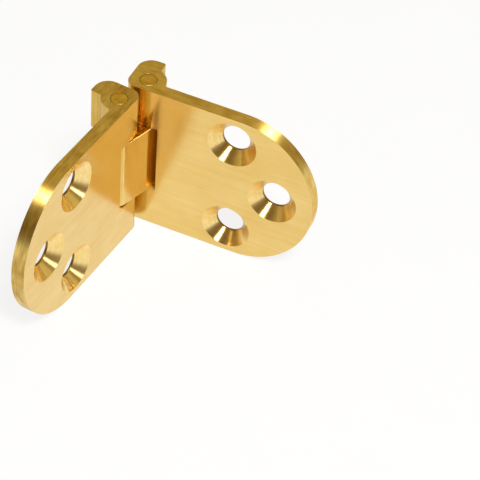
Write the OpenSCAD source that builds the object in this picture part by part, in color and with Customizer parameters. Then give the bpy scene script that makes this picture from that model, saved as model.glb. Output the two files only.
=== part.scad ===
// Two-pin flap hinge in solid brass. Each leaf is one piece: a D-shaped plate that ends
// in a knuckle block. A link block sits in a slot in both knuckles and turns on two pins,
// so the leaves lie flat in line or fold face to face.
//
// The origin is on the fixed leaf's seat, which is the back of its plate, midway between
// its two rows of screw holes and at half its width. X runs from the butt face towards
// the round end, Y out of the seat, and Z along the pins.

/* [Leaves] */
// Width of each leaf, along the pins
leaf_w = 30; // [24:0.5:44]
// Length of each leaf, from its butt face to the tip of its round end
leaf_len = 35.4; // [33:0.1:60]
// Thickness of the plate
plate_t = 2.4; // [2.2:0.1:3.6]
// How much the round end's radius is over half the leaf's width
end_bulge = 0.6; // [0.1:0.1:4]
// How much the radius of the shoulders, which lead into the round end, is under half the
// leaf's width
shoulder_ease = 2; // [0.5:0.1:6]

/* [Pins] */
// Diameter of each pin
pin_d = 3; // [2:0.1:3.4]
// Depth of the pin axis behind the countersunk face
pin_depth = 2.6; // [2.3:0.1:2.9]
// Radial play of the link on its pins
pin_play = 0.04; // [0.02:0.01:0.08]

/* [Knuckle blocks] */
// Wall of the barrel around each pin
barrel_wall = 1.6; // [1.2:0.1:2.4]
// Wall that the butt face has in front of the barrel
butt_skin = 0.1; // [0:0.05:0.6]
// Gap between the two butt faces when the hinge lies flat
butt_gap = 0.5; // [0.3:0.05:1]
// Play between the two front corners where they pass each other
corner_play = 0.04; // [0.02:0.01:0.1]
// Length of the nose along the leaf
nose_len = 4.1; // [3.4:0.1:5.6]
// Depth of the nose behind the countersunk face
nose_depth = 7.7; // [6.6:0.1:10]
// Radius of the nose's corner at the butt face
nose_butt_r = 2.6; // [0.6:0.1:2.9]
// Radius of the nose's other corner
nose_back_r = 0.4; // [0.2:0.1:0.7]
// Radius of the fillets that lead into the barrel
barrel_fillet_r = 0.5; // [0.2:0.1:0.8]

/* [Slots and link] */
// Height of the slot in each knuckle, along the pins
slot_h = 14.2; // [10:0.2:18]
// Radius of the slot's inner corners
slot_corner_r = 0.3; // [0.2:0.1:1.5]
// Play above the link and below it
link_side_play = 0.15; // [0.05:0.05:0.4]
// How much the radius of the link's ends is over half its thickness
link_end_bulge = 0.3; // [0.1:0.05:0.6]
// Gap between the link's ends and the end of the slot
link_end_gap = 0.1; // [0.1:0.05:0.8]
// How far the link stands proud of the leaves when the hinge lies flat
link_proud = 0.2; // [0:0.05:0.4]

/* [Screw holes] */
// Diameter of the screw holes
hole_d = 5; // [4.4:0.1:6]
// Diameter of the countersinks at the face
csk_d = 8.9; // [7.8:0.1:9.2]
// Angle of the countersinks, from wall to wall
csk_angle = 90; // [88:1:120]
// Distance of the outer hole from the tip of the round end
outer_hole_inset = 7.4; // [6:0.1:10]
// Distance between the outer hole and the row of two holes, along the leaf
hole_row_step = 8; // [6:0.1:10]
// Distance of the two holes from the sides of the leaf
side_hole_inset = 5.5; // [5:0.1:7]

/* [Rest position] */
// Angle that the link is folded from flat against the fixed leaf
link_fold = 71.3; // [0:0.1:90]
// Angle that the flap leaf is folded from flat against the link
flap_fold = 12.8; // [0:0.1:90]

/* [Hidden] */
$fn = 96;
BRASS = "#d9ab4e";
CUT_BRASS = "#a9873c";
// Cutters run past the faces that they cut by this much
over = 1;

pin_r = pin_d / 2;
barrel_r = pin_r + barrel_wall;
// Distance of the pin axis from the butt face
pin_s = barrel_r + butt_skin;
pin_pitch = 2 * pin_s + butt_gap;
link_r = pin_depth + link_proud;
link_h = slot_h - 2 * link_side_play;
link_end_r = link_r + link_end_bulge;
slot_len = pin_s + link_end_r + link_end_gap;
mid_h = leaf_w / 2;
end_r = leaf_w / 2 + end_bulge;
end_s = leaf_len - end_r;

// Each shoulder's circle touches the side of the leaf and the circle of the round end. It
// crosses both by a hair, so that the curves meet in clean edges.
shoulder_r = leaf_w / 2 - shoulder_ease;
shoulder_bite = 0.002;
shoulder_s = end_s + sqrt(end_bulge * (end_bulge + 2 * shoulder_ease));
shoulder_angle = atan2(shoulder_ease, shoulder_s - end_s);

// The front corner of each knuckle swings about its pin. It is rounded so that it reaches
// no further than halfway to the other pin, less the play. The radius r solves
// (pin_s - r)^2 + (pin_depth - r)^2 = (corner_reach - r)^2.
corner_reach = pin_pitch / 2 - corner_play;
front_corner_r = pin_s + pin_depth - corner_reach
    - sqrt(2 * (corner_reach - pin_s) * (corner_reach - pin_depth));

hole_r = hole_d / 2;
csk_depth = (csk_d - hole_d) / 2 / tan(csk_angle / 2);
outer_hole_s = leaf_len - outer_hole_inset;
side_hole_s = outer_hole_s - hole_row_step;
// Each hole as its distance from the butt face and its height
screw_holes = [
    [side_hole_s, side_hole_inset],
    [outer_hole_s, mid_h],
    [side_hole_s, leaf_w - side_hole_inset],
];
seat_s = (side_hole_s + outer_hole_s) / 2;

// Fillet circles, each outside the barrel: one touches the back of the plate, the other
// the inner face of the nose. They cross the barrel's circle by a hair, so that the two
// curves meet in a clean edge.
fillet_bite = 0.002;
fillet_reach = barrel_r + barrel_fillet_r - fillet_bite;
plate_fillet_d = plate_t + barrel_fillet_r;
plate_fillet_s = pin_s + sqrt(pow(fillet_reach, 2) - pow(plate_fillet_d - pin_depth, 2));
nose_fillet_s = nose_len + barrel_fillet_r;
nose_fillet_d = pin_depth + sqrt(pow(fillet_reach, 2) - pow(nose_fillet_s - pin_s, 2));

// A leaf is drawn with its butt face at x = 0, its countersunk face at y = 0 and its
// lower side at z = 0. This turns a flat drawing of x and height into a plate of the
// thickness t, from y = 0 backwards.
module upright(t) {
    translate([0, t, 0])
        rotate([90, 0, 0])
            linear_extrude(height = t)
                children();
}

// What a round of the radius r takes from a square corner at the origin
module corner_waste(r) {
    difference() {
        translate([-over, -over])
            square(r + over);
        translate([r, r])
            circle(r);
    }
}

// The round end between its two shoulders
module end_outline() {
    reach = 2 * end_r;
    rise = reach * sin(shoulder_angle);
    translate([end_s, mid_h])
        intersection() {
            circle(end_r);
            polygon([
                [0, 0],
                [reach * cos(shoulder_angle), -rise],
                [reach, -rise],
                [reach, rise],
                [reach * cos(shoulder_angle), rise],
            ]);
        }
}

module plate() {
    upright(plate_t)
        intersection() {
            square([leaf_len, leaf_w]);
            union() {
                square([shoulder_s, leaf_w]);
                for (z = [shoulder_r, leaf_w - shoulder_r])
                    translate([shoulder_s, z])
                        circle(shoulder_r + shoulder_bite);
                end_outline();
            }
        }
}

module nose_outline() {
    difference() {
        square([nose_len, nose_depth]);
        translate([0, nose_depth])
            mirror([0, 1])
                corner_waste(nose_butt_r);
        translate([nose_len, nose_depth])
            rotate(180)
                corner_waste(nose_back_r);
    }
}

module barrel_outline() {
    intersection() {
        translate([pin_s, pin_depth])
            circle(barrel_r);
        square([leaf_len, nose_depth]);
    }
}

module barrel_fillets() {
    difference() {
        polygon([
            [pin_s, pin_depth],
            [pin_s, plate_t / 2],
            [plate_fillet_s, plate_t / 2],
            [plate_fillet_s, plate_fillet_d],
        ]);
        translate([plate_fillet_s, plate_fillet_d])
            circle(barrel_fillet_r);
    }
    difference() {
        polygon([
            [pin_s, pin_depth],
            [nose_fillet_s, nose_fillet_d],
            [nose_len / 2, nose_fillet_d],
        ]);
        translate([nose_fillet_s, nose_fillet_d])
            circle(barrel_fillet_r);
    }
}

module knuckle() {
    linear_extrude(height = leaf_w) {
        nose_outline();
        barrel_outline();
        barrel_fillets();
    }
}

module slot() {
    slot_z = mid_h - slot_h / 2;
    translate([0, -over, 0])
        upright(nose_depth + 2 * over) {
            translate([-over, slot_z])
                square([slot_len - slot_corner_r + over, slot_h]);
            translate([-over, slot_z + slot_corner_r])
                square([slot_len + over, slot_h - 2 * slot_corner_r]);
            for (z = [slot_z + slot_corner_r, slot_z + slot_h - slot_corner_r])
                translate([slot_len - slot_corner_r, z])
                    circle(slot_corner_r);
        }
}

module screw_hole() {
    rotate([-90, 0, 0]) {
        translate([0, 0, -over])
            cylinder(r = hole_r, h = plate_t + 2 * over);
        translate([0, 0, -over])
            cylinder(
                r1 = csk_d / 2 + over * tan(csk_angle / 2),
                r2 = hole_r,
                h = csk_depth + over
            );
    }
}

module leaf() {
    difference() {
        union() {
            plate();
            knuckle();
        }
        translate([0, 0, -over])
            linear_extrude(height = leaf_w + 2 * over)
                corner_waste(front_corner_r);
        slot();
        translate([pin_s, pin_depth, -over])
            cylinder(r = pin_r, h = leaf_w + 2 * over);
        for (hole = screw_holes)
            translate([hole[0], 0, hole[1]])
                screw_hole();
    }
}

module pin() {
    cylinder(r = pin_r, h = leaf_w);
}

// Drawn from the fixed leaf's pin at the origin to the flap leaf's pin, along -X. Its
// ends are round about the pins, and its two faces cut them off.
module link_block() {
    difference() {
        linear_extrude(height = link_h)
            intersection() {
                translate([-pin_pitch - link_end_r - over, -link_r])
                    square([pin_pitch + 2 * (link_end_r + over), 2 * link_r]);
                union() {
                    circle(link_end_r);
                    translate([-pin_pitch, 0])
                        circle(link_end_r);
                    translate([-pin_pitch, -link_end_r])
                        square([pin_pitch, 2 * link_end_r]);
                }
            }
        for (x = [0, -pin_pitch])
            translate([x, 0, -over])
                cylinder(r = pin_r + pin_play, h = link_h + 2 * over);
    }
}

// From the place where a leaf is drawn to the fixed leaf's place
module at_fixed_leaf() {
    translate([-seat_s, -plate_t, -mid_h])
        children();
}

// What is drawn about the fixed leaf's pin, turned with the link
module at_link() {
    at_fixed_leaf()
        translate([pin_s, pin_depth, 0])
            rotate(link_fold)
                children();
}

// What is drawn about the flap leaf's pin, turned with the flap leaf
module at_flap_pin() {
    at_link()
        translate([-pin_pitch, 0, 0])
            rotate(flap_fold)
                children();
}

module fixed_leaf() {
    color(BRASS)
        at_fixed_leaf()
            leaf();
}

module fixed_leaf_pin() {
    color(CUT_BRASS)
        at_fixed_leaf()
            translate([pin_s, pin_depth, 0])
                pin();
}

module link() {
    color(BRASS)
        at_link()
            translate([0, 0, mid_h - link_h / 2])
                link_block();
}

module flap_leaf_pin() {
    color(CUT_BRASS)
        at_flap_pin()
            pin();
}

module flap_leaf() {
    color(BRASS)
        at_flap_pin()
            mirror([1, 0, 0])
                translate([-pin_s, -pin_depth, 0])
                    leaf();
}

fixed_leaf();
fixed_leaf_pin();
link();
flap_leaf_pin();
flap_leaf();
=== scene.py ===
"""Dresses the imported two-pin flap hinge in solid brass, ready to render.

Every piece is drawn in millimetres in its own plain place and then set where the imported
model has it. The row frame has its origin on the fixed leaf's seat, with +Y out of the
back of the plate and Z along the pins.
"""

import logging
import math
from dataclasses import dataclass, field, replace
from enum import Enum, IntEnum
from typing import Any, Callable, Iterable, Sequence

import bmesh
import bpy
from mathutils import Matrix, Vector


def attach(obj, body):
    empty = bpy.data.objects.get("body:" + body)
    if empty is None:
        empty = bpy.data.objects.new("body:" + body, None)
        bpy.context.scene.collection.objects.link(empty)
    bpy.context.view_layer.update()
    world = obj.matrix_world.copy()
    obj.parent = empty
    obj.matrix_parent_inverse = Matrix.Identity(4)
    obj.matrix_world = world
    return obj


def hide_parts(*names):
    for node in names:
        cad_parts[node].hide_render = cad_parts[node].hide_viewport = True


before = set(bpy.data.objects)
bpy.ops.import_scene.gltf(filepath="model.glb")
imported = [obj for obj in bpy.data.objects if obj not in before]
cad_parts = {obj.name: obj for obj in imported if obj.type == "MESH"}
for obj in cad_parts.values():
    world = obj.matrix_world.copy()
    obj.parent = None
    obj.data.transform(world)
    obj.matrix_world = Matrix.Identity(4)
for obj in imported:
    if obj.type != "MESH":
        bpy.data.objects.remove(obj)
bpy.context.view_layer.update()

MM: float = 0.001
IMAGE_SIDE: int = 480
QUARTER: float = math.pi / 2
# Cutters run past the faces that they cut by this much, in millimetres
OVER: float = 1.0
# Points nearer to each other than this are one point, in millimetres
WELD: float = 1e-4
# How far past a plane of the leaf a face may lie and still count as on it, in millimetres
CLOSE: float = 0.01
# A face looks squarely along an axis where its normal's share of the axis is over the
# first value, and not at all where it is under the second
SQUARELY: float = 0.9
SLIGHTLY: float = 0.1
# How many straight pieces each kind of arc is drawn with
HOLE_STEPS: int = 96
PIN_STEPS: int = 64
END_STEPS: int = 64
LINK_END_STEPS: int = 32
ROUND_STEPS: int = 24
CORNER_STEPS: int = 20
FILLET_STEPS: int = 8
BREAK_STEPS: int = 3
# The bevel tool's value for a round profile
ROUND_PROFILE: float = 0.5
# Edges sharper than this are broken, and those sharper than the second shade as sharp
BREAK_FROM_DEGREES: float = 24.0
SHARP_FROM_DEGREES: float = 30.0
# Nearly all of a noise texture lies between these two values
NOISE_LOW: float = 0.35
NOISE_HIGH: float = 0.65
# Tooling marks spread a reflection across themselves: a quarter turn from the tangent
ACROSS_THE_MARKS: float = 0.25

log = logging.getLogger("flap_hinge")

Point2 = tuple[float, float]
Settings = dict[str, Any]


def linear(hex_colour: str) -> tuple[float, float, float, float]:
    """Turns an sRGB hex colour into the linear RGBA that a shader socket takes.

    Args:
        hex_colour: Six hex digits, such as "E5C176".

    Returns:
        The linear red, green and blue, and an alpha of 1.
    """
    parts = [int(hex_colour[i:i + 2], 16) / 255 for i in (0, 2, 4)]
    red, green, blue = (
        part / 12.92 if part <= 0.04045 else ((part + 0.055) / 1.055) ** 2.4
        for part in parts
    )
    return red, green, blue, 1.0


def add_node(
    tree: bpy.types.NodeTree,
    kind: str,
    settings: Settings | None = None,
    inputs: dict[str | int, Any] | None = None,
) -> bpy.types.Node:
    """Adds one node, with its settings, its values and its links.

    Args:
        tree: The node tree that gets the node.
        kind: The node's Blender type.
        settings: Properties of the node and their values.
        inputs: Input sockets by name or number. A socket as the value is linked.

    Returns:
        The new node.
    """
    node = tree.nodes.new(kind)
    for name, value in (settings or {}).items():
        setattr(node, name, value)
    for name, value in (inputs or {}).items():
        if isinstance(value, bpy.types.NodeSocket):
            tree.links.new(value, node.inputs[name])
        else:
            node.inputs[name].default_value = value
    return node


def add_ramp(
    tree: bpy.types.NodeTree,
    factor: bpy.types.NodeSocket,
    stops: Sequence[tuple[float, tuple[float, ...]]],
) -> bpy.types.NodeSocket:
    """Adds a colour ramp.

    Args:
        tree: The node tree that gets the ramp.
        factor: The socket that drives it.
        stops: Each stop as its place from 0 to 1 and its linear RGBA.

    Returns:
        The ramp's colour socket.
    """
    node = add_node(tree, "ShaderNodeValToRGB", inputs={"Fac": factor})
    elements = node.color_ramp.elements
    while len(elements) < len(stops):
        elements.new(0.5)
    for element, (place, colour) in zip(elements, stops):
        element.position = place
        element.color = colour
    return node.outputs["Color"]


def grey(level: float) -> tuple[float, float, float, float]:
    """Returns the linear RGBA of a neutral grey of that level."""
    return level, level, level, 1.0


# Finishes


@dataclass(frozen=True)
class BrassFinish:
    """One way that solid brass is finished, as a metal shader with its tooling marks.

    The grain map gives millimetres along the marks as U and across them as V. Marks,
    bands and blotches are noise on three scales, each with its size in millimetres.
    """

    name: str
    pale: str
    deep: str
    roughness: float
    anisotropy: float
    mark_spacing: float
    mark_length: float
    mark_depth: float
    mark_contrast: float
    band_spacing: float = 1.6
    band_share: float = 0.5
    blotch_size: float = 6.0
    blotch_share: float = 0.35

    def marks(self, tree: bpy.types.NodeTree, length: float, spacing: float) -> bpy.types.NodeSocket:
        """Adds noise that is drawn out along the tooling marks.

        Args:
            tree: The node tree that gets the nodes.
            length: How long a mark is, in millimetres.
            spacing: How far apart the marks are, in millimetres.

        Returns:
            The noise, from 0 to 1.
        """
        grain = add_node(tree, "ShaderNodeUVMap", {"uv_map": "grain"}).outputs["UV"]
        drawn = add_node(tree, "ShaderNodeMapping", inputs={
            "Vector": grain, "Scale": (1 / length, 1 / spacing, 1.0),
        }).outputs["Vector"]
        return add_node(tree, "ShaderNodeTexNoise", inputs={
            "Vector": drawn, "Scale": 1.0, "Detail": 3.0, "Roughness": 0.6,
        }).outputs["Fac"]

    def material(self) -> bpy.types.Material:
        """Gives the finish's material, which is built the first time."""
        return bpy.data.materials.get(self.name) or self.build()

    def build(self) -> bpy.types.Material:
        """Builds the material.

        Returns:
            The finished material.
        """
        material = bpy.data.materials.new(self.name)
        material.use_nodes = True
        tree = material.node_tree
        tree.nodes.clear()
        lines = self.marks(tree, self.mark_length, self.mark_spacing)
        bands = self.marks(tree, self.mark_length * 2, self.band_spacing)
        place = add_node(tree, "ShaderNodeTexCoord").outputs["Object"]
        blotch = add_node(tree, "ShaderNodeTexNoise", inputs={
            "Vector": place, "Scale": 1 / (self.blotch_size * MM), "Detail": 2.0,
        }).outputs["Fac"]
        tooled = add_node(tree, "ShaderNodeMix", {"data_type": "FLOAT"}, {
            0: self.band_share, 2: lines, 3: bands,
        }).outputs[0]
        tone = add_node(tree, "ShaderNodeMix", {"data_type": "FLOAT"}, {
            0: self.blotch_share, 2: tooled, 3: blotch,
        }).outputs[0]
        spread = add_node(tree, "ShaderNodeMapRange", inputs={
            "Value": tone, "From Min": NOISE_LOW, "From Max": NOISE_HIGH,
        }).outputs["Result"]
        colour = add_ramp(tree, spread, [(0.0, linear(self.deep)), (1.0, linear(self.pale))])
        rough = add_node(tree, "ShaderNodeMapRange", inputs={
            "Value": tooled,
            "From Min": NOISE_LOW,
            "From Max": NOISE_HIGH,
            "To Min": self.roughness * (1 + self.mark_contrast),
            "To Max": self.roughness * (1 - self.mark_contrast),
        }).outputs["Result"]
        bump = add_node(tree, "ShaderNodeBump", inputs={
            "Strength": 1.0, "Distance": self.mark_depth * MM, "Height": lines,
        }).outputs["Normal"]
        tangent = add_node(tree, "ShaderNodeTangent", {
            "direction_type": "UV_MAP", "uv_map": "grain",
        }).outputs["Tangent"]
        shader = add_node(tree, "ShaderNodeBsdfPrincipled", inputs={
            "Base Color": colour,
            "Metallic": 1.0,
            "Roughness": rough,
            "Anisotropic": self.anisotropy,
            "Anisotropic Rotation": ACROSS_THE_MARKS,
            "Normal": bump,
            "Tangent": tangent,
        }).outputs["BSDF"]
        add_node(tree, "ShaderNodeOutputMaterial", inputs={"Surface": shader})
        return material


# Drawn along the leaf with abrasive: long fine lines that catch the light as satin
# streaks. The lines of 320 grit are 0.05 mm apart, and drawn 0.16 mm apart to show.
BRUSHED_FACE = BrassFinish(
    "brass_brushed_lengthwise", "F0D188", "E6C06C",
    roughness=0.2, anisotropy=0.72, mark_spacing=0.16, mark_length=9.0,
    mark_depth=0.0025, mark_contrast=0.2, band_spacing=1.4,
)
# Sawn to width and tumbled: duller and deeper in colour, with long dark and bright
# streaks round the side where the saw and the belt went. Marks of 120 grit are 0.12 mm
# apart, and drawn 0.24 mm apart to show.
SAWN_SIDE = BrassFinish(
    "brass_sawn_and_tumbled", "FCDE86", "DAAA48",
    roughness=0.38, anisotropy=1.0, mark_spacing=0.24, mark_length=2.4,
    mark_depth=0.02, mark_contrast=0.2, band_spacing=0.7, blotch_size=2.4,
    blotch_share=0.4,
)
# The flap leaf's side is the sawn finish again, paler where it is bright, with deeper streaks. The
# difference is painted light and shade, matching how that side catches the light.
FLAP_SIDE_PAINTED_LIGHT_AND_SHADE = replace(
    SAWN_SIDE, name="brass_sawn_painted_light_and_shade", pale="F4D680", deep="B88A32", blotch_size=3.5,
)
# Drawn through the section's die: faint straight lines along the knuckle, which a worn
# die leaves about 0.4 mm apart.
DRAWN_KNUCKLE = BrassFinish(
    "brass_drawn_section", "DCBA66", "C29C40",
    roughness=0.28, anisotropy=0.4, mark_spacing=0.4, mark_length=12.0,
    mark_depth=0.003, mark_contrast=0.25,
)
# Drawn like the knuckle and then buffed: brighter, with the faintest of lines.
BUFFED_LINK = BrassFinish(
    "brass_buffed_link", "F0CD7C", "DDB458",
    roughness=0.13, anisotropy=0.4, mark_spacing=0.4, mark_length=12.0,
    mark_depth=0.003, mark_contrast=0.25,
)
# Cut with an end mill at a feed of 0.3 mm: the light bounces between the walls until it
# is a deep warm brown.
MILLED_SLOT = BrassFinish(
    "brass_milled_slot", "FFF0B0", "FCDC84",
    roughness=0.48, anisotropy=0.3, mark_spacing=0.3, mark_length=3.0,
    mark_depth=0.004, mark_contrast=0.2,
)
# The flap leaf's slot is painted darker: painted shade, so its floor under the link stays brown
# under the lamp.
FLAP_SLOT_PAINTED_SHADE = replace(MILLED_SLOT, name="brass_milled_slot_painted_shade", pale="B88C40", deep="8A6224")
# Sawn across and left: the link's two ends, painted dark brown as shade between the leaves.
LINK_END_PAINTED_SHADE = BrassFinish(
    "brass_link_end_painted_shade", "B48C3A", "7E5C20",
    roughness=0.26, anisotropy=0.3, mark_spacing=0.3, mark_length=3.0,
    mark_depth=0.004, mark_contrast=0.2,
)
# Turned with a countersink: bright rings, which throw a fan of light down the cone. A
# feed of 0.05 mm is drawn as rings 0.12 mm apart to show.
TURNED_CONE = BrassFinish(
    "brass_turned_countersink", "FFE8AC", "F2CB6C",
    roughness=0.24, anisotropy=0.97, mark_spacing=0.12, mark_length=30.0,
    mark_depth=0.001, mark_contrast=0.1, band_spacing=0.5, blotch_size=1.2,
    blotch_share=0.3,
)
# Drilled through: dull, and painted dark as shade in the bore, so each hole has a dark rim.
BORE_PAINTED_SHADE = BrassFinish(
    "brass_drilled_bore_painted_shade", "A8823A", "6A4C1A",
    roughness=0.4, anisotropy=0.5, mark_spacing=0.15, mark_length=6.0,
    mark_depth=0.006, mark_contrast=0.3, blotch_size=1.0,
)
# The fine groove round a pressed pin, which holds dirt and shows as a dark ring.
DIRTY_SEAM = BrassFinish(
    "brass_oxidised_seam", "A8823A", "6E5220",
    roughness=0.5, anisotropy=0.0, mark_spacing=0.4, mark_length=0.8,
    mark_depth=0.004, mark_contrast=0.2, blotch_size=0.9, blotch_share=0.7,
)
# The burnished break along every edge, painted paler than the face as a highlight: the brightest
# line of the hinge.
EDGE_BREAK_PAINTED_HIGHLIGHT = BrassFinish(
    "brass_edge_break_painted_highlight", "F8DC94", "ECC76E",
    roughness=0.36, anisotropy=0.0, mark_spacing=0.5, mark_length=2.0,
    mark_depth=0.002, mark_contrast=0.2,
)
# Drawn wire, cut off and ground level with the knuckle: a deeper disc with short
# scratches straight across it.
GROUND_PIN = BrassFinish(
    "brass_ground_pin", "EEC85E", "B98A2A",
    roughness=0.38, anisotropy=0.8, mark_spacing=0.2, mark_length=1.6,
    mark_depth=0.02, mark_contrast=0.25, band_spacing=0.6, blotch_size=1.6,
)


# Mesh work, in millimetres


def arc(centre: Point2, radius: float, start: float, end: float, steps: int) -> list[Point2]:
    """Points along an arc, both ends among them.

    Args:
        centre: The arc's centre.
        radius: Its radius.
        start: The angle that it starts at, in radians.
        end: The angle that it ends at, in radians.
        steps: How many straight pieces it has.

    Returns:
        The points in order.
    """
    angles = (start + (end - start) * i / steps for i in range(steps + 1))
    return [(centre[0] + radius * math.cos(a), centre[1] + radius * math.sin(a)) for a in angles]


def circle(centre: Point2, radius: float, steps: int = HOLE_STEPS) -> list[Point2]:
    """Points round a whole circle, without a doubled end."""
    return arc(centre, radius, 0.0, 4 * QUARTER, steps)[:-1]


class Along(Enum):
    """The axis that a flat outline is extruded along."""

    DEPTH = "depth"
    HEIGHT = "height"


def loft(rings: Sequence[Sequence[Vector]]) -> bmesh.types.BMesh:
    """Joins closed rings of equal length into a solid with flat ends.

    Args:
        rings: The rings from one end to the other.

    Returns:
        The closed solid, with its normals outward.
    """
    bm = bmesh.new()
    rows = [[bm.verts.new(point) for point in ring] for ring in rings]
    for low, high in zip(rows, rows[1:]):
        for i, vert in enumerate(low):
            after = (i + 1) % len(low)
            bm.faces.new((vert, low[after], high[after], high[i]))
    bm.faces.new(rows[0])
    bm.faces.new(rows[-1])
    bmesh.ops.recalc_face_normals(bm, faces=bm.faces)
    return bm


def prism(outline: Iterable[Point2], low: float, high: float, along: Along) -> bmesh.types.BMesh:
    """Extrudes a flat outline.

    Args:
        outline: Its points, as length and height or as length and depth.
        low: Where it starts on the axis.
        high: Where it ends.
        along: The axis.

    Returns:
        The prism.
    """
    points = list(outline)
    if along is Along.DEPTH:
        rings = [[Vector((x, level, z)) for x, z in points] for level in (low, high)]
    else:
        rings = [[Vector((x, y, level)) for x, y in points] for level in (low, high)]
    return loft(rings)


def carve(
    body: bmesh.types.BMesh,
    tools: Iterable[bmesh.types.BMesh],
    keep: bool = False,
) -> bmesh.types.BMesh:
    """Cuts solids out of a body, or keeps only what lies in them.

    Args:
        body: The body, which is used up.
        tools: The solids, which are used up too.
        keep: Whether the part inside the solids is what stays.

    Returns:
        The body as it is afterwards.
    """
    for tool in tools:
        objects = []
        for bm in (body, tool):
            mesh = bpy.data.meshes.new("blank")
            bm.to_mesh(mesh)
            bm.free()
            objects.append(bpy.data.objects.new("blank", mesh))
            bpy.context.scene.collection.objects.link(objects[-1])
        blank, cutter = objects
        cut = blank.modifiers.new("cut", "BOOLEAN")
        cut.solver = "EXACT"
        cut.operation = "INTERSECT" if keep else "DIFFERENCE"
        cut.object = cutter
        depsgraph = bpy.context.evaluated_depsgraph_get()
        result = bpy.data.meshes.new_from_object(blank.evaluated_get(depsgraph))
        body = bmesh.new()
        body.from_mesh(result)
        bpy.data.meshes.remove(result)
        for spent in objects:
            mesh = spent.data
            bpy.data.objects.remove(spent)
            bpy.data.meshes.remove(mesh)
    bmesh.ops.remove_doubles(body, verts=body.verts, dist=WELD)
    bmesh.ops.dissolve_degenerate(body, edges=body.edges, dist=WELD)
    return body


def break_edges(bm: bmesh.types.BMesh, width: float, slot: int) -> None:
    """Rounds off every sharp edge a little, as a tumbled part has them.

    Args:
        bm: The solid.
        width: How far the rounding reaches from the edge, in millimetres.
        slot: The material slot of the rounding.
    """
    sharp = math.radians(BREAK_FROM_DEGREES)
    edges = [
        edge for edge in bm.edges
        if len(edge.link_faces) == 2 and edge.calc_face_angle(0.0) > sharp
    ]
    bmesh.ops.bevel(
        bm, geom=edges, offset=width, offset_type="OFFSET", segments=BREAK_STEPS,
        profile=ROUND_PROFILE, affect="EDGES", clamp_overlap=True, material=slot, miter_outer="ARC",
    )


class Piece:
    """Turns a drawn solid into a piece of the hinge, set in its place."""

    def __init__(self, name: str, body: str, slot: str, stands_for: str) -> None:
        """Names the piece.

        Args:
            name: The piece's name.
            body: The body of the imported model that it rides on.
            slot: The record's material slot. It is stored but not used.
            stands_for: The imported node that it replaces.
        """
        self.name = name
        self.body = body
        self.slot = slot
        self.stands_for = stands_for

    def set_up(
        self,
        bm: bmesh.types.BMesh,
        place: Matrix,
        finishes: Sequence[BrassFinish],
        grain: Callable[[bmesh.types.BMFace, Vector], Point2],
    ) -> bpy.types.Object:
        """Writes the mesh, its grain map and its materials.

        Args:
            bm: The solid in millimetres, where it was drawn. It is used up.
            place: Takes the drawing to the row frame, in millimetres.
            finishes: The finishes in the order of the material slots.
            grain: Gives a corner's place in the grain map from its face and its point.

        Returns:
            The piece's object.
        """
        layer = bm.loops.layers.uv.new("grain")
        for face in bm.faces:
            face.smooth = True
            for loop in face.loops:
                loop[layer].uv = grain(face, loop.vert.co)
        bm.transform(Matrix.Scale(MM, 4) @ place)
        if place.determinant() < 0:
            bmesh.ops.reverse_faces(bm, faces=bm.faces)
        mesh = bpy.data.meshes.new(self.name)
        bm.to_mesh(mesh)
        bm.free()
        for finish in finishes:
            mesh.materials.append(finish.material())
        mesh.set_sharp_from_angle(angle=math.radians(SHARP_FROM_DEGREES))
        piece = bpy.data.objects.new(self.name, mesh)
        bpy.context.scene.collection.objects.link(piece)
        level = piece.modifiers.new("level", "WEIGHTED_NORMAL")
        level.mode = "FACE_AREA"
        level.keep_sharp = True
        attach(piece, self.body)
        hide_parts(self.stands_for)
        log.info("%s: %d faces, on %s", self.name, len(mesh.polygons), self.body)
        return piece


class Region(IntEnum):
    """The leaf's material slots."""

    FACE = 0
    SIDE = 1
    KNUCKLE = 2
    SLOT = 3
    CONE = 4
    EDGE = 5
    BORE = 6


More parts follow.
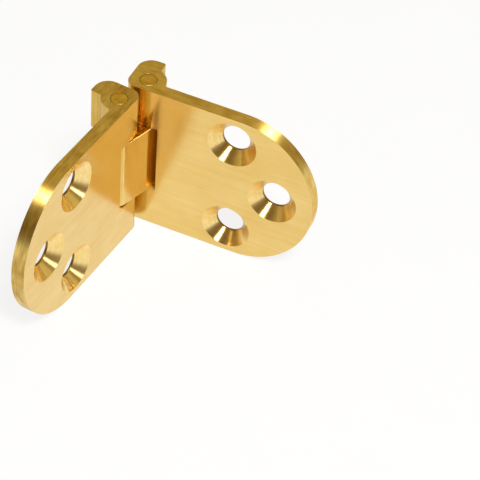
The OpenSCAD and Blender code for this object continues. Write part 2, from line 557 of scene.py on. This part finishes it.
@dataclass
class Leaf:
    """One leaf: a D-shaped plate that ends in a knuckle block, all in one piece.

    It is drawn with X from the butt face to the round end, Y from the countersunk face
    backwards and Z up from the lower side. The last three fields say how much of a
    face's normal lies along an axis where the face is flat, slanted or level.
    """

    width: float = 30.0
    length: float = 35.4
    plate: float = 2.4
    end_radius: float = 15.6
    shoulder_radius: float = 13.0
    pin_length: float = 3.2
    pin_depth: float = 2.6
    pin_radius: float = 1.5
    barrel_radius: float = 3.1
    butt_gap: float = 0.5
    corner_play: float = 0.04
    nose_length: float = 4.1
    nose_depth: float = 7.7
    nose_butt_radius: float = 2.6
    nose_back_radius: float = 0.4
    fillet_radius: float = 0.5
    slot_height: float = 14.2
    slot_length: float = 6.4
    slot_radius: float = 0.3
    hole_radius: float = 2.5
    cone_radius: float = 4.45
    holes: tuple[Point2, ...] = ((20.0, 5.5), (28.0, 15.0), (20.0, 24.5))
    edge_break: float = 0.13
    flat_from: float = 0.999
    slanted_from: float = 0.3
    level_from: float = 0.5

    def front_radius(self) -> float:
        """Works out the round of the front corner, which just swings past the other leaf's.

        Returns:
            Its radius.
        """
        reach = self.pin_length + self.butt_gap / 2 - self.corner_play
        square = 2 * (reach - self.pin_length) * (reach - self.pin_depth)
        return self.pin_length + self.pin_depth - reach - math.sqrt(square)

    def section(self) -> list[Point2]:
        """Draws the leaf's section across the pins, as length and depth.

        Returns:
            The outline, once round.
        """
        pin = (self.pin_length, self.pin_depth)
        reach = self.barrel_radius + self.fillet_radius
        plate_fillet_depth = self.plate + self.fillet_radius
        rise = plate_fillet_depth - pin[1]
        plate_fillet = (pin[0] + math.sqrt(reach**2 - rise**2), plate_fillet_depth)
        nose_fillet_length = self.nose_length + self.fillet_radius
        run = nose_fillet_length - pin[0]
        nose_fillet = (nose_fillet_length, pin[1] + math.sqrt(reach**2 - run**2))
        to_plate = math.atan2(rise, plate_fillet[0] - pin[0])
        to_nose = math.atan2(nose_fillet[1] - pin[1], run)
        back, butt, front = self.nose_back_radius, self.nose_butt_radius, self.front_radius()
        nose_back = (self.nose_length - back, self.nose_depth - back)
        nose_butt = (butt, self.nose_depth - butt)
        return [
            (self.length, 0.0),
            (self.length, self.plate),
            *arc(plate_fillet, self.fillet_radius, -QUARTER, to_plate - math.pi, FILLET_STEPS),
            *arc(pin, self.barrel_radius, to_plate, to_nose, CORNER_STEPS)[1:-1],
            *arc(nose_fillet, self.fillet_radius, to_nose - math.pi, -math.pi, FILLET_STEPS),
            *arc(nose_back, back, 0.0, QUARTER, FILLET_STEPS),
            *arc(nose_butt, butt, QUARTER, 2 * QUARTER, ROUND_STEPS),
            *arc((front, front), front, 2 * QUARTER, 3 * QUARTER, CORNER_STEPS),
        ]

    def plan(self) -> list[Point2]:
        """Draws the leaf's plan over its face, as length and height.

        Returns:
            The outline, once round, wide of the leaf at the butt face.
        """
        middle = self.width / 2
        ease = middle - self.shoulder_radius
        end = self.length - self.end_radius
        run = math.sqrt((self.end_radius - self.shoulder_radius) ** 2 - ease**2)
        turn = math.atan2(ease, run)
        low = (end + run, self.shoulder_radius)
        high = (end + run, self.width - self.shoulder_radius)
        return [
            (-OVER, 0.0),
            *arc(low, self.shoulder_radius, -QUARTER, -turn, ROUND_STEPS),
            *arc((end, middle), self.end_radius, -turn, turn, END_STEPS)[1:-1],
            *arc(high, self.shoulder_radius, turn, QUARTER, ROUND_STEPS),
            (-OVER, self.width),
        ]

    def slot_plan(self) -> list[Point2]:
        """Draws the slot over the leaf's face, as length and height.

        Returns:
            The outline, once round, open past the butt face.
        """
        middle, half = self.width / 2, self.slot_height / 2
        corner = self.slot_radius
        inner = self.slot_length - corner
        return [
            (-OVER, middle - half),
            *arc((inner, middle - half + corner), corner, -QUARTER, 0.0, FILLET_STEPS),
            *arc((inner, middle + half - corner), corner, 0.0, QUARTER, FILLET_STEPS),
            (-OVER, middle + half),
        ]

    def screw_hole(self, at: Point2) -> bmesh.types.BMesh:
        """Draws what a screw hole and its countersink take away.

        Args:
            at: The hole's length and height.

        Returns:
            The solid.
        """
        cone_depth = self.cone_radius - self.hole_radius
        levels = (
            (-OVER, self.cone_radius + OVER),
            (cone_depth, self.hole_radius),
            (self.plate + OVER, self.hole_radius),
        )
        return loft([[Vector((x, y, z)) for x, z in circle(at, radius)] for y, radius in levels])

    def region(self, face: bmesh.types.BMFace) -> Region:
        """Says what a face of the drawn leaf is.

        Args:
            face: The face, where it was drawn.

        Returns:
            The material slot that it gets.
        """
        point, normal = face.calc_center_median(), face.normal
        if abs(normal.y) > self.flat_from and point.y < self.plate + CLOSE:
            return Region.FACE
        for hole in self.holes:
            if math.dist(hole, (point.x, point.z)) < self.cone_radius:
                return Region.CONE if abs(normal.y) > self.slanted_from else Region.BORE
        in_height = abs(point.z - self.width / 2) < self.slot_height / 2 + CLOSE
        if in_height and point.x < self.slot_length + CLOSE:
            corner = self.slot_length - self.slot_radius - CLOSE
            if abs(normal.z) > self.slanted_from or point.x > corner:
                return Region.SLOT
        if abs(normal.z) > self.level_from or point.x > self.length / 2:
            return Region.SIDE
        return Region.KNUCKLE

    def grain(self, face: bmesh.types.BMFace, point: Vector) -> Point2:
        """Gives a corner's place in the grain map.

        Args:
            face: The face that the corner is on.
            point: The corner.

        Returns:
            Millimetres along the tooling marks and across them.
        """
        region = Region(face.material_index)
        if region is Region.KNUCKLE:
            return point.z, point.x + point.y
        if region is Region.SLOT:
            return point.y, point.x + point.z
        if region in (Region.CONE, Region.BORE):
            centre = face.calc_center_median()
            hole = min(self.holes, key=lambda h: math.dist(h, (centre.x, centre.z)))
            middle = math.atan2(centre.z - hole[1], centre.x - hole[0])
            angle = math.atan2(point.z - hole[1], point.x - hole[0])
            turned = middle + math.remainder(angle - middle, 4 * QUARTER)
            # On a cone of 90 degrees the way down its wall is the depth times root two
            return turned * self.cone_radius, point.y * math.sqrt(2.0)
        if region is Region.SIDE and face.calc_center_median().x > self.length - self.end_radius:
            angle = math.atan2(point.z - self.width / 2, point.x - self.length + self.end_radius)
            return angle * self.end_radius, point.y
        if region is Region.SIDE:
            return point.x, point.y
        return point.x, point.z

    def build(self) -> bmesh.types.BMesh:
        """Builds the leaf's solid with broken edges and its faces sorted by region.

        Returns:
            The solid, where it is drawn.
        """
        back, top = self.nose_depth + OVER, self.width + OVER
        bm = prism(self.section(), 0.0, self.width, Along.HEIGHT)
        bm = carve(bm, [prism(self.plan(), -OVER, back, Along.DEPTH)], keep=True)
        pin = circle((self.pin_length, self.pin_depth), self.pin_radius)
        bore = prism(pin, -OVER, top, Along.HEIGHT)
        slot = prism(self.slot_plan(), -OVER, back, Along.DEPTH)
        bm = carve(bm, [slot, bore, *(self.screw_hole(hole) for hole in self.holes)])
        for face in bm.faces:
            face.material_index = self.region(face)
        break_edges(bm, self.edge_break, Region.EDGE)
        return bm

    def dress(
        self, name: str, body: str, place: Matrix, side: BrassFinish, slot: BrassFinish,
    ) -> bpy.types.Object:
        """Builds the leaf, dresses it and sets it in its place.

        Args:
            name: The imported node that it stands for.
            body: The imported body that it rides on.
            place: Takes the drawing to the row frame, in millimetres.
            side: The finish of its sides.
            slot: The finish of its slot.

        Returns:
            The leaf's object.
        """
        look = [BRUSHED_FACE, side, DRAWN_KNUCKLE, slot, TURNED_CONE, EDGE_BREAK_PAINTED_HIGHLIGHT, BORE_PAINTED_SHADE]
        piece = Piece(f"brass_{name}", body, "brushed_brass", name)
        return piece.set_up(self.build(), place, look, self.grain)


class LinkRegion(IntEnum):
    """The link's material slots."""

    FACE = 0
    EDGE = 1
    END = 2


@dataclass
class Link:
    """The link block in the slots, drawn from the fixed leaf's pin along -X.

    Its ends are round about the pins, and its two flat faces cut them off.
    """

    pitch: float = 6.9
    half_thickness: float = 2.8
    end_radius: float = 3.1
    height: float = 13.9
    bore_radius: float = 1.54
    edge_break: float = 0.16

    def build(self) -> bmesh.types.BMesh:
        """Builds the link's solid.

        Returns:
            The solid, where it is drawn.
        """
        turn = math.asin(self.half_thickness / self.end_radius)
        flap_pin = (-self.pitch, 0.0)
        outline = [
            *arc((0.0, 0.0), self.end_radius, -turn, turn, LINK_END_STEPS),
            *arc(flap_pin, self.end_radius, math.pi - turn, math.pi + turn, LINK_END_STEPS),
        ]
        bm = prism(outline, 0.0, self.height, Along.HEIGHT)
        rings = [circle(pin, self.bore_radius, PIN_STEPS) for pin in ((0.0, 0.0), flap_pin)]
        bm = carve(bm, [prism(ring, -OVER, self.height + OVER, Along.HEIGHT) for ring in rings])
        for face in bm.faces:
            at_end = abs(face.normal.z) > SQUARELY
            face.material_index = LinkRegion.END if at_end else LinkRegion.FACE
        break_edges(bm, self.edge_break, LinkRegion.EDGE)
        return bm

    @staticmethod
    def grain(face: bmesh.types.BMFace, point: Vector) -> Point2:
        """Gives a corner's place in the grain map: drawn along the pins, sawn at the ends."""
        if abs(face.normal.z) > SQUARELY:
            return point.x, point.y
        return point.z, point.x + point.y

    def dress(self, name: str, body: str, place: Matrix) -> bpy.types.Object:
        """Builds the link, dresses it and sets it in its place.

        Args:
            name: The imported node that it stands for.
            body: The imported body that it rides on.
            place: Takes the drawing to the row frame, in millimetres.

        Returns:
            The link's object.
        """
        piece = Piece(f"brass_{name}", body, "link_brass", name)
        return piece.set_up(
            self.build(), place, [BUFFED_LINK, EDGE_BREAK_PAINTED_HIGHLIGHT, LINK_END_PAINTED_SHADE], self.grain,
        )


class PinRegion(IntEnum):
    """The pin's material slots."""

    GROUND = 0
    SEAM = 1


@dataclass
class Pin:
    """A pin, drawn upright with its axis on Z."""

    radius: float = 1.5
    height: float = 30.0
    chamfer: float = 0.11

    def build(self) -> bmesh.types.BMesh:
        """Builds the pin with its two ends ground level and chamfered.

        Returns:
            The solid, where it is drawn.
        """
        levels = (
            (0.0, self.radius - self.chamfer),
            (self.chamfer, self.radius),
            (self.height - self.chamfer, self.radius),
            (self.height, self.radius - self.chamfer),
        )
        rings = [(level, circle((0.0, 0.0), radius, PIN_STEPS)) for level, radius in levels]
        bm = loft([[Vector((x, y, level)) for x, y in ring] for level, ring in rings])
        for face in bm.faces:
            slanted = SLIGHTLY < abs(face.normal.z) < SQUARELY
            face.material_index = PinRegion.SEAM if slanted else PinRegion.GROUND
        return bm

    def grain(self, face: bmesh.types.BMFace, point: Vector) -> Point2:
        """Gives a corner's place in the grain map: ground straight across the ends."""
        if abs(face.normal.z) > SQUARELY:
            return point.x, point.y
        return point.z, math.atan2(point.y, point.x) * self.radius

    def dress(self, name: str, body: str, place: Matrix) -> bpy.types.Object:
        """Builds the pin, dresses it and sets it in its place.

        Args:
            name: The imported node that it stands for.
            body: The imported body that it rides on.
            place: Takes the drawing to the row frame, in millimetres.

        Returns:
            The pin's object.
        """
        piece = Piece(f"brass_{name}", body, "pin_brass", name)
        return piece.set_up(self.build(), place, [GROUND_PIN, DIRTY_SEAM], self.grain)


@dataclass
class Hinge:
    """The whole hinge at rest: where each piece goes and what it is dressed in."""

    leaf: Leaf = field(default_factory=Leaf)
    link: Link = field(default_factory=Link)
    pin: Pin = field(default_factory=Pin)
    seat_length: float = 24.0
    link_fold: float = 71.3
    flap_fold: float = 12.8

    def places(self) -> dict[str, Matrix]:
        """Works out where each drawing goes, in millimetres in the row frame.

        Returns:
            The matrix of each piece by its name.
        """
        leaf = self.leaf
        middle = leaf.width / 2
        fixed = Matrix.Translation((-self.seat_length, -leaf.plate, -middle))
        axis = Matrix.Translation((leaf.pin_length, leaf.pin_depth, 0.0))
        link_turn = Matrix.Rotation(math.radians(self.link_fold), 4, "Z")
        flap_turn = Matrix.Rotation(math.radians(self.flap_fold), 4, "Z")
        link = fixed @ axis @ link_turn
        flap_pin = link @ Matrix.Translation((-self.link.pitch, 0.0, 0.0)) @ flap_turn
        mirror = Matrix.Scale(-1.0, 4, (1.0, 0.0, 0.0))
        return {
            "fixed_leaf": fixed,
            "fixed_leaf_pin": fixed @ axis,
            "link": link @ Matrix.Translation((0.0, 0.0, middle - self.link.height / 2)),
            "flap_leaf_pin": flap_pin,
            "flap_leaf": flap_pin @ mirror @ axis.inverted(),
        }

    def build(self) -> list[bpy.types.Object]:
        """Builds and dresses all five pieces.

        Returns:
            The pieces' objects.
        """
        places = self.places()
        parts = (
            (self.leaf, "fixed_leaf", "fixed_side", (SAWN_SIDE, MILLED_SLOT)),
            # The flap leaf's side and slot finishes carry painted light and shade.
            (self.leaf, "flap_leaf", "flap_side", (FLAP_SIDE_PAINTED_LIGHT_AND_SHADE, FLAP_SLOT_PAINTED_SHADE)),
            (self.pin, "fixed_leaf_pin", "fixed_side", ()),
            (self.pin, "flap_leaf_pin", "flap_side", ()),
            (self.link, "link", "link_block", ()),
        )
        return [
            part.dress(name, body, places[name], *own_finishes)
            for part, name, body, own_finishes in parts
        ]


# Studio


@dataclass(frozen=True)
class Studio:
    """A white sweep under one soft lamp, with warm dim walls above a white horizon.

    The walls go from the ceiling's shade to the dark side's as a view turns towards the
    dark direction, and from white to their shades as it rises over the horizon.
    """

    floor_height: float = -0.01502
    floor_side: float = 12.0
    lamp_direction: tuple[float, float, float] = (0.34, -0.38, 0.86)
    lamp_distance: float = 0.6
    lamp_side: float = 0.15
    lamp_power: float = 6.2
    paper: tuple[str, str] = ("B8B8B8", "BEBEBE")
    fibres_per_metre: float = 900.0
    paper_glow: float = 0.86
    ceiling: str = "CBBC86"
    dark_side: str = "6A5524"
    dark_direction: tuple[float, float, float] = (0.5, -0.87, 0.0)
    dark_edge: tuple[float, float] = (0.15, 0.4)
    horizon: tuple[float, float] = (0.02, 0.1)

    def seen_as_background(self, tree: bpy.types.NodeTree) -> bpy.types.NodeSocket:
        """Adds the test for what a camera, a mirror or a glass sees.

        Args:
            tree: The node tree that gets the nodes.

        Returns:
            A socket that is 1 for those rays.
        """
        path = add_node(tree, "ShaderNodeLightPath").outputs
        seen = path["Is Camera Ray"]
        for name in ("Is Glossy Ray", "Is Transmission Ray"):
            seen = add_node(tree, "ShaderNodeMath", {"operation": "MAXIMUM"}, {
                0: seen, 1: path[name],
            }).outputs[0]
        return seen

    def build_floor(self) -> bpy.types.Object:
        """Builds the floor: white to the eye, with the object's shadow kept on it.

        Returns:
            The floor.
        """
        half = self.floor_side / 2
        bm = bmesh.new()
        corners = ((-half, -half), (half, -half), (half, half), (-half, half))
        bm.faces.new([bm.verts.new((x, y, self.floor_height)) for x, y in corners])
        mesh = bpy.data.meshes.new("studio_floor")
        bm.to_mesh(mesh)
        bm.free()
        material = bpy.data.materials.new("matt_white_paper_sweep")
        material.use_nodes = True
        tree = material.node_tree
        tree.nodes.clear()
        fibre = add_node(tree, "ShaderNodeTexNoise", inputs={
            "Scale": self.fibres_per_metre, "Detail": 2.0,
        }).outputs["Fac"]
        deep, pale = (linear(shade) for shade in self.paper)
        paper = add_ramp(tree, fibre, [(0.0, deep), (1.0, pale)])
        lit = add_node(tree, "ShaderNodeBsdfDiffuse", inputs={"Color": paper}).outputs[0]
        glow = add_node(tree, "ShaderNodeEmission", inputs={
            "Color": grey(1.0), "Strength": 1.0,
        }).outputs[0]
        share = add_node(tree, "ShaderNodeMath", {"operation": "MULTIPLY"}, {
            0: self.seen_as_background(tree), 1: self.paper_glow,
        }).outputs[0]
        shader = add_node(tree, "ShaderNodeMixShader", inputs={0: share, 1: lit, 2: glow}).outputs[0]
        add_node(tree, "ShaderNodeOutputMaterial", inputs={"Surface": shader})
        mesh.materials.append(material)
        floor = bpy.data.objects.new("studio_floor", mesh)
        bpy.context.scene.collection.objects.link(floor)
        return floor

    def build_world(self) -> None:
        """Builds the surround: white at the horizon, warm and dimmer above it."""
        world = bpy.data.worlds.new("studio_surround")
        bpy.context.scene.world = world
        world.use_nodes = True
        tree = world.node_tree
        tree.nodes.clear()
        direction = add_node(tree, "ShaderNodeTexCoord").outputs["Generated"]
        height = add_node(tree, "ShaderNodeSeparateXYZ", inputs={"Vector": direction}).outputs["Z"]
        ahead = add_node(tree, "ShaderNodeVectorMath", {"operation": "DOT_PRODUCT"}, {
            0: direction, 1: self.dark_direction,
        }).outputs["Value"]
        shades = (linear(self.ceiling), linear(self.dark_side))
        walls = add_ramp(tree, ahead, list(zip(self.dark_edge, shades)))
        above = add_node(tree, "ShaderNodeMapRange", inputs={
            "Value": height, "From Min": self.horizon[0], "From Max": self.horizon[1],
        }).outputs["Result"]
        surround = add_node(tree, "ShaderNodeMix", {"data_type": "RGBA"}, {
            0: above, 6: grey(1.0), 7: walls,
        }).outputs[2]
        sky = add_node(tree, "ShaderNodeBackground", inputs={
            "Color": surround, "Strength": 1.0,
        }).outputs[0]
        add_node(tree, "ShaderNodeOutputWorld", inputs={"Surface": sky})

    def build_lamp(self) -> bpy.types.Object:
        """Hangs the soft lamp and aims it at the hinge.

        Returns:
            The lamp.
        """
        data = bpy.data.lights.new("overhead_softbox", "AREA")
        data.shape = "SQUARE"
        data.size = self.lamp_side
        data.energy = self.lamp_power
        lamp = bpy.data.objects.new("overhead_softbox", data)
        direction = Vector(self.lamp_direction).normalized()
        lamp.location = direction * self.lamp_distance
        lamp.rotation_mode = "QUATERNION"
        lamp.rotation_quaternion = direction.to_track_quat("Z", "Y")
        bpy.context.scene.collection.objects.link(lamp)
        return lamp

    def build(self) -> None:
        """Builds the floor, the surround and the lamp."""
        self.build_floor()
        self.build_world()
        self.build_lamp()
        log.info("studio: floor, surround and one lamp")


@dataclass(frozen=True)
class Viewpoint:
    """The camera, from where it stands round the hinge and what it sees where.

    The anchor is a point of the row frame in millimetres, and the pixel is where the
    photograph's frame shows it.
    """

    turn: float = 20.509
    rise: float = 44.883
    roll: float = 4.977
    distance: float = 351.94
    focal_pixels: float = 2045.5
    anchor: tuple[float, float, float] = (-24.0, -2.4, 0.0)
    pixel: Point2 = (122.609, 149.189)
    sensor_width: float = 36.0
    clip: tuple[float, float] = (0.01, 50.0)

    def build(self) -> bpy.types.Object:
        """Builds the camera and makes it the scene's own.

        Returns:
            The camera.
        """
        turn, rise, roll = (math.radians(angle) for angle in (self.turn, self.rise, self.roll))
        back = Vector((
            math.sin(turn) * math.cos(rise),
            -math.cos(turn) * math.cos(rise),
            math.sin(rise),
        ))
        level = Vector((math.cos(turn), math.sin(turn), 0.0))
        upright = back.cross(level)
        right = math.cos(roll) * level + math.sin(roll) * upright
        up = math.cos(roll) * upright - math.sin(roll) * level
        across = (self.pixel[0] - IMAGE_SIDE / 2) / self.focal_pixels * self.distance
        above = (IMAGE_SIDE / 2 - self.pixel[1]) / self.focal_pixels * self.distance
        place = Vector(self.anchor) + back * self.distance - right * across - up * above
        data = bpy.data.cameras.new("photograph_view")
        data.sensor_width = self.sensor_width
        data.lens = self.focal_pixels / IMAGE_SIDE * self.sensor_width
        data.clip_start, data.clip_end = self.clip
        camera = bpy.data.objects.new("photograph_view", data)
        aim = Matrix((right, up, back)).transposed().to_4x4()
        camera.matrix_world = Matrix.Translation(place * MM) @ aim
        bpy.context.scene.collection.objects.link(camera)
        bpy.context.scene.camera = camera
        log.info("camera: %.1f mm lens", data.lens)
        return camera


def main() -> None:
    """Builds the camera, the studio and the hinge."""
    logging.basicConfig(level=logging.INFO, format="%(message)s")
    bpy.context.scene.view_settings.view_transform = "Standard"
    Viewpoint().build()
    Studio().build()
    Hinge().build()


if __name__ == "__main__":
    main()
